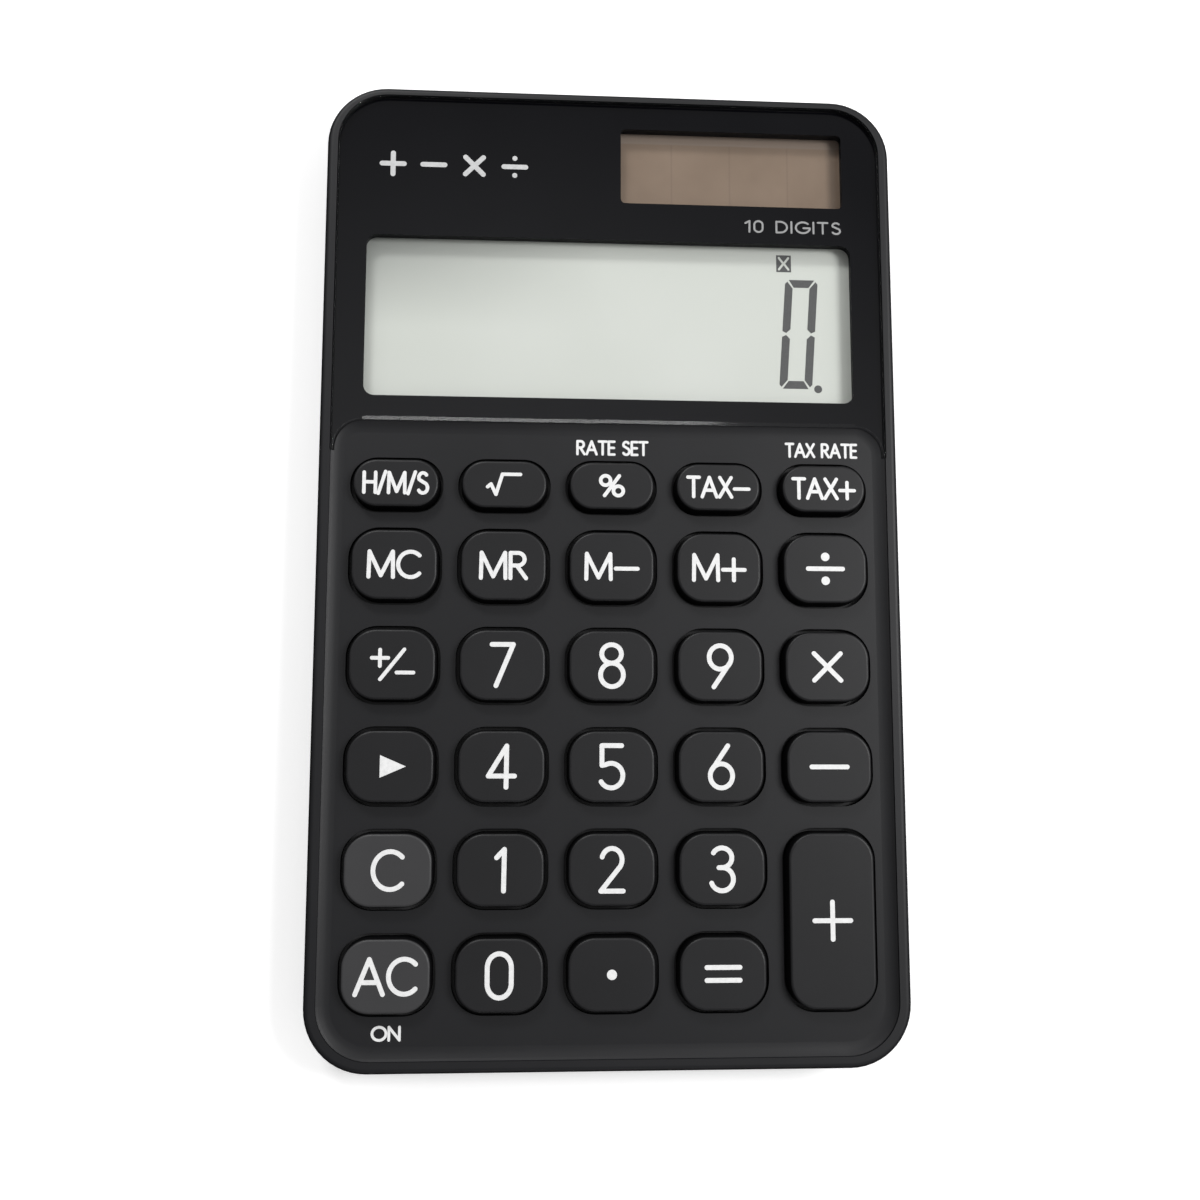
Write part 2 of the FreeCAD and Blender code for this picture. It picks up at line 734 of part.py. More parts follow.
def make_display():
    """The glossy plate, its black mask and the display stack under the larger window."""
    outline = panel_corners(
        "panel_half",
        "panel_inner",
        "keypad_top",
        "panel_horn",
        "panel_top",
        "keypad_top_corner",
        "panel_corner",
    )
    plate = make_plate("display_panel", outline, "panel_low", "panel_thick")
    round_edges(plate, edges_at(plate.Shape, number("rim_level")), "panel_edge")
    lip = new_sketch(plate, "lip", role="YZ_Plane")
    slope = [("keypad_top", "lip_level"), ("lip_back", "rim_level"), ("keypad_top", "rim_level")]
    draw_path(lip, slope, closed=True)
    pocket(plate, lip, "lip_length", both_ways=True)
    outline = panel_corners(
        "mask_half",
        "mask_inner",
        "mask_foot",
        "mask_horn",
        "mask_top",
        "mask_inner_corner",
        "mask_corner",
    )
    mask = make_plate("panel_mask", outline, "recess_level", "mask_thick")
    add_windows(mask, "panel_low", "mask_thick", relief=False)

    middle = ("origin_x", "screen_y")
    corners = block_corners("polariser_half", "polariser_end")
    make_plate("lcd_polariser", corners, "polariser_level", "polariser_thick", middle)
    corners = box_corners("-glass_half", "glass_half", "glass_foot", "glass_top")
    glass = make_plate("lcd_glass", corners, "front_glass_low", "glass_thick")
    sketch = new_sketch(glass, "rear_pane", "rear_glass_low")
    corners = box_corners("-glass_half", "glass_half", "rear_glass_foot", "glass_top")
    pad(glass, draw_outline(sketch, corners), "glass_thick")
    corners = block_corners("reflector_half", "reflector_end")
    middle = ("origin_x", "reflector_y")
    make_plate("lcd_reflector", corners, "reflector_low", "reflector_thick", middle)
    middle = ("origin_x", "strip_y")
    corners = block_corners("strip_half", "strip_end")
    make_plate("lcd_connector", corners, "board_level", "strip_thick", middle)

    corners = box_corners("-holder_half", "holder_half", "holder_foot", "holder_top")
    holder = make_plate("lcd_holder", corners, "holder_low", "holder_height")
    sketch = new_sketch(holder, "tray", "holder_level")
    corners = box_corners("-holder_inner", "holder_inner", "tray_foot", "holder_inner_top")
    pocket(holder, draw_outline(sketch, corners), "holder_depth")

    middle = ("sun_x", "sun_y")
    corners = block_corners("cell_half", "cell_end")
    make_plate("solar_cell", corners, "cell_low", "cell_thick", middle)


def make_board():
    """The printed board with its chip, its capacitors and its screws."""
    corners = box_corners(
        "-board_half", "board_half", "-board_foot", "board_top", "board_corner", "edge_corner"
    )
    board = make_plate("circuit_board", corners, "board_low", "board_thick")
    places = screw_places("case", GRID_CASE_SCREWS)
    sketch = draw_circles(new_sketch(board, "boss_holes", "board_level"), "boss_room_radius", places)
    pocket(board, sketch, "board_thick")
    places = screw_places("board", BOARD_SCREWS)
    sketch = new_sketch(board, "screw_holes", "board_level")
    pocket(board, draw_circles(sketch, "board_hole_radius", places), "board_thick")

    blob = new_body("chip_blob")
    sketch = new_sketch(blob, "outline", "blob_low", ("origin_x", "blob_y"))
    drop = pad(blob, draw_circles(sketch, "blob_radius"), "blob_thick")
    round_edges(blob, edges_at(drop.Shape, number("blob_low")), "blob_round")

    chips = new_body("capacitors")
    sketch = new_sketch(chips, "outline", "capacitor_low", ("capacitor_pitch", "capacitor_y"))
    draw_outline(sketch, block_corners("capacitor_half", "capacitor_end"))
    repeat(chips, pad(chips, sketch, "capacitor_thick"), "capacitor_span", 3)

    make_screws("board_screws", places, "small_head_low", "small_head_radius",
                "small_head_thick", "board_low", "small_screw_radius", "small_screw_length")
    places = screw_places("case", CASE_SCREWS)
    make_screws("case_screws", places, "head_low", "head_radius",
                "head_thick", "head_seat", "screw_radius", "screw_length")


def make_screws(label, places, head_low, head_radius, head_thick, neck, radius, length):
    """A group of equal screws, heads down, with a cross recess in each head."""
    body = new_body(label)
    sketch = new_sketch(body, "heads", head_low)
    pad(body, draw_circles(sketch, head_radius, places), head_thick)
    sketch = new_sketch(body, "shanks", neck)
    pad(body, draw_circles(sketch, radius, places), length)
    for name, half, end in (
        ("recess_along", "recess_long_half", "recess_wide_half"),
        ("recess_across", "recess_wide_half", "recess_long_half"),
    ):
        for index, place in enumerate(places):
            sketch = new_sketch(body, f"{name}_{index}", head_low, place)
            draw_outline(sketch, block_corners(half, end))
            pocket(body, sketch, "recess_depth", upwards=True)


def make_sheet_and_pills():
    """The silicone sheet: a dome under every cell of the grid, with a carbon pill in each."""
    corners = box_corners(
        "-sheet_half", "sheet_half", "-sheet_foot", "sheet_top", "sheet_corner", "edge_corner"
    )
    sheet = make_plate("dome_sheet", corners, "board_level", "sheet_thick")
    pills = new_body("contact_pills")
    rows = (("last_row", "grid_length", ROWS), ("top_row", None, 1))
    for index, (middle, length, count) in enumerate(rows):
        place = ("first_column", middle)
        outside = add_cone(
            sheet, f"dome_{index}", place, "dome_foot_radius", "dome_top_radius", "dome_height"
        )
        repeat(sheet, outside, "grid_width", COLUMNS, length, count)
        inside = add_cone(
            sheet,
            f"dome_room_{index}",
            place,
            "dome_inner_foot",
            "dome_inner_top",
            "dome_inner_height",
            hollow=True,
        )
        repeat(sheet, inside, "grid_width", COLUMNS, length, count)
        sketch = new_sketch(pills, f"pill_{index}", "pill_low", place)
        disc = pad(pills, draw_circles(sketch, "pill_radius"), "pill_thick")
        repeat(pills, disc, "grid_width", COLUMNS, length, count)
    for kind, indices, radius in (
        ("case", GRID_CASE_SCREWS, "boss_room_radius"),
        ("board", BOARD_SCREWS, "board_boss_room_radius"),
    ):
        sketch = new_sketch(sheet, f"{kind}_holes", "sheet_level")
        pocket(sheet, draw_circles(sketch, radius, screw_places(kind, indices)), "sheet_thick")


def add_cone(body, name, place, foot_radius, top_radius, height, hollow=False):
    """A blunt cone standing on the board, added to the body or taken out of it."""
    kind = "PartDesign::SubtractiveCone" if hollow else "PartDesign::AdditiveCone"
    cone = body.newObject(kind, f"{body.Label}_{name}")
    cone.AttachmentSupport = [(origin_plane(body, "XY_Plane"), "")]
    cone.MapMode = "FlatFace"
    cone.setExpression("AttachmentOffset.Base.x", formula(place[0]))
    cone.setExpression("AttachmentOffset.Base.y", formula(place[1]))
    cone.setExpression("AttachmentOffset.Base.z", formula("board_level"))
    cone.setExpression("Radius1", formula(foot_radius))
    cone.setExpression("Radius2", formula(top_radius))
    cone.setExpression("Height", formula(height))
    document.recompute()
    return cone


def make_battery():
    """The button cell, its two contacts and all the wires."""
    cell = new_body("button_cell")
    middle = ("battery_x", "battery_y")
    sketch = new_sketch(cell, "foot", "battery_low", middle)
    pad(cell, draw_circles(sketch, "battery_face_radius"), "battery_step")
    sketch = new_sketch(cell, "can", "battery_body_low", middle)
    can = pad(cell, draw_circles(sketch, "battery_radius"), "battery_body_thick")
    round_edges(cell, edges_at(can.Shape, number("battery_level")), "battery_round")

    corners = box_corners("contact_left", "contact_right", "contact_tail", "contact_head")
    lower = make_plate("contact_negative", corners, "contact_low", "contact_thick")
    sketch = new_sketch(lower, "dimple", "contact_level", middle)
    pad(lower, draw_circles(sketch, "dimple_radius"), "contact_dimple")

    corners = box_corners(
        "-upper_contact_end", "upper_contact_right", "upper_contact_foot", "upper_contact_head"
    )
    upper = make_plate("contact_positive", corners, "upper_contact_low", "contact_thick")
    sketch = new_sketch(upper, "dimple", "battery_level", middle)
    pad(upper, draw_circles(sketch, "dimple_radius"), "upper_contact_drop")

    make_wires("solar_leads", (("sun_wire_left", "sun_wire_start", "cell_low"),
                               ("sun_wire_right", "sun_wire_start", "cell_low")))
    make_wires("battery_leads", (("low_wire_x", "low_wire_start", "contact_level"),
                                 ("high_wire_x", "battery_y", "upper_contact_low")))


def make_wires(label, wires):
    """Wires that drop from a start, run down the case and turn up against the board."""
    body = new_body(label)
    for index, (x, start, start_level) in enumerate(wires):
        path = new_sketch(body, f"path_{index}", role="YZ_Plane")
        path.setExpression("AttachmentOffset.Base.z", formula(x))
        points = [
            (start, start_level),
            (start, "wire_level"),
            ("wire_end", "wire_level"),
            ("wire_end", "board_low"),
        ]
        draw_path(path, points)
        ring = new_sketch(body, f"section_{index}", start_level, (x, start))
        draw_circles(ring, "wire_radius")
        wire = body.newObject("PartDesign::AdditivePipe", f"{label}_{index}")
        wire.Profile = ring
        wire.Spine = (path, [f"Edge{n}" for n in range(1, len(points))])
        wire.Transition = "Round corner"
        document.recompute()


def draw_path(sketch, points, closed=False):
    """Straight runs between (along, up) points by dimension name."""
    spots = [FreeCAD.Vector(number(y), number(z), 0) for y, z in points]
    runs = len(spots) if closed else len(spots) - 1
    for index in range(runs):
        after = spots[(index + 1) % len(spots)]
        line = sketch.addGeometry(Part.LineSegment(spots[index], after), False)
        if index:
            sketch.addConstraint(Sketcher.Constraint("Coincident", line - 1, 2, line, 1))
    if closed:
        sketch.addConstraint(Sketcher.Constraint("Coincident", runs - 1, 2, 0, 1))
    for index, spot in enumerate(spots):
        line, end = (index, 1) if index < runs else (index - 1, 2)
        tie(sketch, Sketcher.Constraint("DistanceX", -1, 1, line, end, spot.x), points[index][0])
        tie(sketch, Sketcher.Constraint("DistanceY", -1, 1, line, end, spot.y), points[index][1])


def make_key(label, column, row_name, rows_down, size):
    """One key cap: a flange that stops under the face, a drafted cap, and a post for the dome."""
    body = new_body(label)
    body.setExpression("Placement.Base.x", f"Dims.column_pitch * {column}")
    body.setExpression("Placement.Base.y", f"Dims.{row_name} - Dims.row_pitch * {rows_down}")
    end, corner = size + "end", "corner" if size != "pill_" else "pill_corner"
    sketch = new_sketch(body, "flange", "flange_low")
    draw_outline(sketch, block_corners("flange_half", "flange_" + end, "flange_" + corner))
    pad(body, sketch, "flange_thick")
    sketch = new_sketch(body, "cap", "cap_low")
    draw_outline(sketch, block_corners("cap_half", "cap_" + end, "cap_" + corner))
    cap = pad(body, sketch, "cap_height", draft="key_draft")
    round_edges(body, edges_at(cap.Shape, number("key_level")), "key_round")
    sketch = new_sketch(body, "hollow", "flange_low")
    draw_outline(sketch, block_corners("hollow_half", "hollow_" + end, "hollow_" + corner))
    pocket(body, sketch, "hollow_depth", upwards=True)
    sketch = new_sketch(body, "post", "flange_low")
    if size == "tall_":
        places = [("origin_x", "tall_post"), ("origin_x", "-tall_post")]
        draw_circles(sketch, "post_radius", places)
    else:
        draw_circles(sketch, "post_radius")
    pad(body, sketch, "hollow_depth")


def make_keys():
    middle_column = (COLUMNS - 1) / 2
    for index, label in enumerate(TOP_ROW_KEYS):
        make_key(label, index - middle_column, "top_row", 0, "pill_")
    for row, labels in enumerate(GRID_KEYS):
        for index, label in enumerate(labels):
            if label:
                make_key(label, index - middle_column, "second_row", row, "")
    make_key("key_plus", middle_column, "second_row", 3.5, "tall_")


def check_and_write():
    """Stop on any broken feature, then write every body as one STEP file."""
    document.recompute()
    for item in document.Objects:
        if "Invalid" in item.State or "Error" in item.State:
            raise RuntimeError(f"{item.Name} is in state {item.State}")
    os.makedirs("parts", exist_ok=True)
    for item in document.Objects:
        if item.TypeId != "PartDesign::Body":
            continue
        if item.Shape.isNull() or not item.Shape.isValid() or not item.Shape.Solids:
            raise RuntimeError(f"{item.Label} has no sound shape")
        item.Shape.exportStep(f"parts/{item.Label}.step")


make_front_case()
make_rear_cover()
make_display()
make_board()
make_sheet_and_pills()
make_battery()
make_keys()
check_and_write()
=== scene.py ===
import math

import bmesh
import bpy
from mathutils import Euler, Matrix, Vector
from mathutils.geometry import delaunay_2d_cdt


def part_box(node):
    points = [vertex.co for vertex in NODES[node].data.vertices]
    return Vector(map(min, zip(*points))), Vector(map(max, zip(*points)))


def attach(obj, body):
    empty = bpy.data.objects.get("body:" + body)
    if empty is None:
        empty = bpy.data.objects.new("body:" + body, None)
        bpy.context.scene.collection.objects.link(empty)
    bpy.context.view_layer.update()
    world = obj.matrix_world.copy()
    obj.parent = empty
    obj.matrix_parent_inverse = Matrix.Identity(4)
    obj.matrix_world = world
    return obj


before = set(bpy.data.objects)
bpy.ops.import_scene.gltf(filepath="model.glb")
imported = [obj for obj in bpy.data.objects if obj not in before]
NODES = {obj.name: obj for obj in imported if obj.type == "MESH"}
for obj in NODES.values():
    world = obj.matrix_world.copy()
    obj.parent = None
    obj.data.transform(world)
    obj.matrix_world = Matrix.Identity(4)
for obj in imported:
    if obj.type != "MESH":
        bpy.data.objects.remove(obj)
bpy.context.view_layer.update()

MM = 0.001
KEYS = [name for name in NODES if name.startswith("key_")]

# ---------------------------------------------------------------- materials


class Graph:
    """The node tree of a new material or world, with short calls to add and join nodes."""

    def __init__(self, name, world=False):
        self.owner = (bpy.data.worlds if world else bpy.data.materials).new(name)
        self.owner.use_nodes = True
        self.tree = self.owner.node_tree
        self.tree.nodes.clear()
        self.output = self.add("ShaderNodeOutputWorld" if world else "ShaderNodeOutputMaterial")

    def add(self, kind, **settings):
        """Add a node; each setting is a property of it or the value of one of its inputs."""
        node = self.tree.nodes.new(kind)
        for key, value in settings.items():
            if hasattr(node, key):
                setattr(node, key, value)
            else:
                self.feed(node.inputs[key.replace("_", " ")], value)
        return node

    def join(self, source, target):
        self.tree.links.new(source, target)

    def feed(self, socket, value):
        """Give a socket a number, a colour or a link."""
        if isinstance(value, tuple):
            socket.default_value = (*value, 1)
        elif isinstance(value, (int, float)):
            socket.default_value = value
        else:
            self.join(value, socket)

    def point(self):
        """Object coordinates, in metres, the same for every view."""
        return self.add("ShaderNodeTexCoord").outputs["Object"]

    def axes(self, vector):
        """The vector's parts, by the names X, Y and Z."""
        split = self.add("ShaderNodeSeparateXYZ")
        self.join(vector, split.inputs[0])
        return split.outputs

    def noise(self, size, detail=2, roughness=0.5):
        """Noise whose features are about this size, in metres."""
        node = self.add("ShaderNodeTexNoise", Scale=1 / size, Detail=detail, Roughness=roughness)
        self.join(self.point(), node.inputs["Vector"])
        return node.outputs["Fac"]

    def remap(self, value, low, high, start=0.3, end=0.7):
        """Run from low to high as the value goes from start to end; the default fits noise."""
        node = self.add("ShaderNodeMapRange")
        for name, setting in (
            ("Value", value), ("From Min", start), ("From Max", end), ("To Min", low), ("To Max", high),
        ):
            self.feed(node.inputs[name], setting)
        return node.outputs["Result"]

    def maths(self, operation, first, second):
        """Combine two values or links."""
        node = self.add("ShaderNodeMath", operation=operation)
        self.feed(node.inputs[0], first)
        self.feed(node.inputs[1], second)
        return node.outputs[0]

    def blend(self, factor, first, second):
        """A colour that runs from the first to the second as the factor goes from 0 to 1."""
        node = self.add("ShaderNodeMix", data_type="RGBA")
        first_colour, second_colour = 6, 7
        self.feed(node.inputs[0], factor)
        self.feed(node.inputs[first_colour], first)
        self.feed(node.inputs[second_colour], second)
        return node.outputs[2]

    def facet(self):
        """The plain normal of the face, without the smoothing across its edges."""
        return self.add("ShaderNodeNewGeometry").outputs["True Normal"]

    def flatness(self, wall, top, normal=None):
        """1 on faces that look up more than one limit, 0 on those steeper than the other."""
        normal = normal or self.add("ShaderNodeNewGeometry").outputs["Normal"]
        return self.remap(self.axes(normal)["Z"], 0, 1, wall, top)

    def bump(self, height, distance):
        node = self.add("ShaderNodeBump", Strength=1.0, Distance=distance)
        self.join(height, node.inputs["Height"])
        return node.outputs["Normal"]

    def principled(self, colour, roughness, normal=None, **constants):
        """A Principled shader; colour and roughness may be values or links."""
        shader = self.add("ShaderNodeBsdfPrincipled", **constants)
        self.feed(shader.inputs["Base Color"], colour)
        self.feed(shader.inputs["Roughness"], roughness)
        if normal:
            self.join(normal, shader.inputs["Normal"])
        return shader.outputs["BSDF"]

    def mix(self, factor, first, second):
        """The first shader where the factor is 0, the second where it is 1."""
        node = self.add("ShaderNodeMixShader")
        for socket, source in zip(node.inputs, (factor, first, second)):
            self.join(source, socket)
        return node.outputs[0]

    def finish(self, shader):
        self.join(shader, self.output.inputs["Surface"])
        return self.owner


# The wall copy of a plastic is painted shade: a darker, less glossy tone on the steep faces.
TOP_SPECULAR, SHADED_WALL_SPECULAR = 0.36, 0.16
SHADED_WALL_SPREAD = 1.3
CLOUD_SIZE = 9 * MM


def moulded_plastic(name, dark, light, gloss, grain, depth, wall=None, limits=None):
    """Spark-eroded plastic: fine grain and faint cloudiness, with painted shade on the walls, a darker and
    duller copy of the plastic, if a wall colour is given.

    gloss holds the least and the most roughness, limits the upward look of a wall and of a top.
    """
    graph = Graph(name)
    cloud = graph.remap(graph.noise(CLOUD_SIZE, detail=3), 0, 1)
    grain_map = graph.noise(grain, detail=3, roughness=0.6)
    normal = graph.bump(grain_map, depth)
    roughness = graph.remap(grain_map, *gloss)
    colour = graph.blend(cloud, dark, light)
    top = graph.principled(colour, roughness, normal, Specular_IOR_Level=TOP_SPECULAR)
    if not wall:
        return graph.finish(top)
    # painted shade: the walls take a darker, duller copy, blended in by how far each face looks up
    colour = graph.blend(cloud, wall, tuple(SHADED_WALL_SPREAD * c for c in wall))
    side = graph.principled(colour, roughness, normal, Specular_IOR_Level=SHADED_WALL_SPECULAR)
    return graph.finish(graph.mix(graph.flatness(*limits), side, top))


# the wall colours below are painted shade for the steep sides, near black on the keys
CASE = moulded_plastic(
    "case_plastic", (0.0046, 0.0047, 0.0060), (0.0064, 0.0065, 0.0080),
    gloss=(0.44, 0.56), grain=0.10 * MM, depth=0.006 * MM,
    wall=(0.0046, 0.0047, 0.0058), limits=(0.35, 0.88),
)
COVER = moulded_plastic(
    "cover_plastic", (0.0080, 0.0082, 0.0096), (0.0120, 0.0122, 0.0138),
    gloss=(0.48, 0.60), grain=0.14 * MM, depth=0.010 * MM,
)
KEY = moulded_plastic(
    "key_plastic", (0.0050, 0.0050, 0.0060), (0.0070, 0.0070, 0.0082),
    gloss=(0.40, 0.52), grain=0.08 * MM, depth=0.004 * MM,
    wall=(0.0010, 0.0010, 0.0012), limits=(0.45, 0.85),
)
GREY_KEY = moulded_plastic(
    "grey_key_plastic", (0.0330, 0.0328, 0.0345), (0.0390, 0.0388, 0.0405),
    gloss=(0.40, 0.52), grain=0.08 * MM, depth=0.004 * MM,
    wall=(0.0020, 0.0020, 0.0024), limits=(0.45, 0.85),
)

POLISH = (0.06, 0.09)


def clear_plate():
    """Polished acrylic: clear, with a Fresnel gloss on its bevels and edges.

    The flat top's gloss is given to the film and the display right behind it.
    """
    graph = Graph("panel_acrylic")
    clear = graph.add("ShaderNodeBsdfTransparent", Color=(0.985, 0.988, 0.990))
    gloss = graph.add("ShaderNodeBsdfGlossy")
    smear = graph.noise(9 * MM)
    graph.join(graph.remap(smear, *POLISH), gloss.inputs["Roughness"])
    graph.join(graph.facet(), gloss.inputs["Normal"])
    fresnel = graph.add("ShaderNodeFresnel", IOR=1.49).outputs["Fac"]
    inside = graph.add("ShaderNodeNewGeometry").outputs["Backfacing"]
    outside = graph.maths("SUBTRACT", 1, inside)
    slanted = graph.maths("SUBTRACT", 1, graph.flatness(0.97, 0.999, graph.facet()))
    share = graph.maths("MULTIPLY", fresnel, graph.maths("MULTIPLY", outside, slanted))
    return graph.finish(graph.mix(share, clear.outputs[0], gloss.outputs[0]))


def mask_film():
    """Black back print seen through the plate: a little blue, glossy, faintly smeared."""
    graph = Graph("mask_film")
    cloud = graph.noise(14 * MM)
    colour = graph.blend(graph.remap(cloud, 0, 1), (0.0016, 0.0016, 0.0026), (0.0024, 0.0024, 0.0036))
    gloss = graph.remap(cloud, *POLISH)
    return graph.finish(graph.principled(colour, gloss, graph.facet(), Specular_IOR_Level=0.5))


def display_film():
    """The pale grey-green of a reflective display: painted shade darkening the upper left, and a reflector's
    grain.
    """
    graph = Graph("polariser_film")
    low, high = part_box("lcd_polariser")
    place = graph.axes(graph.point())
    # painted shade: the colour darkens toward the upper left corner, standing in for the shade of the
    # window's edges
    left = graph.remap(place["X"], 1, 0, low[0], low[0] + 30 * MM)
    top = graph.remap(place["Y"], 0, 1, high[1] - 12 * MM, high[1] - 2 * MM)
    patch = graph.remap(graph.noise(22 * MM, detail=1), 0, 1)
    even = graph.blend(patch, (0.625, 0.645, 0.592), (0.672, 0.688, 0.640))
    corner_shaded_base = graph.blend(graph.maths("MULTIPLY", left, top), even, (0.33, 0.342, 0.318))
    grain = graph.noise(0.07 * MM)
    colour = graph.blend(graph.remap(grain, 0, 0.10), corner_shaded_base, (0.52, 0.535, 0.495))
    normal = graph.bump(grain, 0.001 * MM)
    return graph.finish(graph.principled(colour, 0.32, normal, Coat_Weight=0.6, Coat_Roughness=0.07))


def segment_ink():
    """A switched display segment: neutral grey with a little of the reflector's grain."""
    graph = Graph("segment_ink")
    grain = graph.remap(graph.noise(0.12 * MM), 0, 1)
    return graph.finish(graph.principled(graph.blend(grain, (0.074,) * 3, (0.096,) * 3), 0.4))


def legend_ink(name, dark, light):
    """Pad-printed ink, slightly uneven."""
    graph = Graph(name)
    patch = graph.noise(0.5 * MM, detail=3)
    colour = graph.blend(graph.remap(patch, 0, 1), (dark,) * 3, (light,) * 3)
    return graph.finish(graph.principled(colour, graph.remap(patch, 0.4, 0.6)))


def solar_glass():
    """Amorphous cell under glass: brown strips, faint lines between them and a bus strip, painted lighter to
    lift the shade that falls on it.
    """
    strips, line_width, line_depth = 4, 0.02, 0.35
    graph = Graph("solar_glass")
    low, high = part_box("solar_cell")
    place = graph.axes(graph.point())
    along = graph.remap(place["X"], 0, strips, low[0], high[0])
    line = graph.remap(graph.maths("PINGPONG", along, 0.5), line_depth, 0, 0, line_width)
    cloud = graph.remap(graph.noise(5 * MM, detail=3), 0, 1)
    brown = graph.blend(cloud, (0.222, 0.162, 0.118), (0.250, 0.184, 0.136))
    lined = graph.blend(line, brown, (0.15, 0.11, 0.085))
    # a bus strip along the top, partly painted light: its tone is raised to lift the shade that the window's
    # edge casts there
    bus_with_painted_light = graph.remap(place["Y"], 0, 1, high[1] - 1.95 * MM, high[1] - 1.75 * MM)
    colour = graph.blend(bus_with_painted_light, lined, (0.255, 0.202, 0.164))
    return graph.finish(graph.principled(colour, 0.22, Coat_Weight=0.6, Coat_Roughness=0.04))


def brushed_metal():
    graph = Graph("screw_steel")
    streak = graph.noise(0.25 * MM, detail=4)
    colour = graph.blend(graph.remap(streak, 0, 1), (0.20, 0.20, 0.21), (0.32, 0.32, 0.33))
    normal = graph.bump(streak, 0.004 * MM)
    return graph.finish(graph.principled(colour, graph.remap(streak, 0.28, 0.5), normal, Metallic=1.0))


def plain_matter(name, dark, light, rough_low, rough_high, size):
    """For the hidden pieces: two close tones and a matching change of gloss."""
    graph = Graph(name)
    patch = graph.noise(size, detail=3)
    colour = graph.blend(graph.remap(patch, 0, 1), dark, light)
    normal = graph.bump(patch, 0.004 * MM)
    return graph.finish(graph.principled(colour, graph.remap(patch, rough_low, rough_high), normal))


INK = legend_ink("legend_ink", 0.72, 0.82)
MARK = legend_ink("mark_ink", 0.50, 0.58)
SMALL = legend_ink("small_print_ink", 0.27, 0.33)
SEGMENT = segment_ink()
STEEL = brushed_metal()
SILICONE = plain_matter("silicone", (0.42, 0.43, 0.43), (0.52, 0.53, 0.53), 0.45, 0.6, 2 * MM)

LOOKS = {
    "front_case": CASE,
    "rear_cover": COVER,
    "display_panel": clear_plate(),
    "panel_mask": mask_film(),
    "lcd_polariser": display_film(),
    "lcd_glass": plain_matter("lcd_glass", (0.5, 0.55, 0.5), (0.6, 0.65, 0.6), 0.05, 0.12, 8 * MM),
    "lcd_reflector": plain_matter("reflector_film", (0.5, 0.5, 0.46), (0.6, 0.6, 0.56), 0.3, 0.4, 1 * MM),
    "lcd_holder": plain_matter("holder_plastic", (0.5, 0.5, 0.48), (0.58, 0.58, 0.56), 0.4, 0.5, 4 * MM),
    "lcd_connector": plain_matter("connector_rubber", (0.3, 0.1, 0.1), (0.4, 0.16, 0.15), 0.5, 0.7, 1 * MM),
    "solar_cell": solar_glass(),
    "dome_sheet": SILICONE,
    "contact_pills": plain_matter("carbon_rubber", (0.01, 0.01, 0.01), (0.02, 0.02, 0.02), 0.6, 0.8, 1 * MM),
    "circuit_board": plain_matter("board_laminate", (0.28, 0.2, 0.08), (0.36, 0.27, 0.12), 0.4, 0.6, 2 * MM),
    "chip_blob": plain_matter("chip_epoxy", (0.01, 0.01, 0.01), (0.02, 0.02, 0.02), 0.15, 0.3, 2 * MM),
    "capacitors": plain_matter("capacitor_ceramic", (0.4, 0.28, 0.16), (0.5, 0.36, 0.22), 0.3, 0.5, 0.5 * MM),
    "board_screws": STEEL,
    "case_screws": STEEL,
    "button_cell": STEEL,
    "contact_negative": STEEL,
    "contact_positive": STEEL,
    "solar_leads": plain_matter("wire_cover", (0.4, 0.03, 0.02), (0.5, 0.05, 0.04), 0.3, 0.45, 1 * MM),
    "battery_leads": plain_matter(
        "wire_cover_dark", (0.02, 0.02, 0.02), (0.04, 0.04, 0.04), 0.3, 0.45, 1 * MM),
}


def paint(piece, material):
    piece.data.materials.clear()
    piece.data.materials.append(material)


for node_name, look in LOOKS.items():
    paint(NODES[node_name], look)
for key_name in KEYS:
    paint(NODES[key_name], GREY_KEY if key_name in ("key_clear", "key_all_clear") else KEY)

# ---------------------------------------------------------------- lettering

ARC_STEP = math.radians(9)


def arc(x, y, across, up, start, end):
    """Points of an ellipse about (x, y), from one angle to another, in degrees."""
    start, end = math.radians(start), math.radians(end)
    count = max(2, math.ceil(abs(end - start) / ARC_STEP))
    turns = [start + (end - start) * k / count for k in range(count + 1)]
    return [(x + across * math.cos(a), y + up * math.sin(a)) for a in turns]


def ring(x, y, across, up):
    return [arc(x, y, across, up, 0, 180), arc(x, y, across, up, 180, 360)]


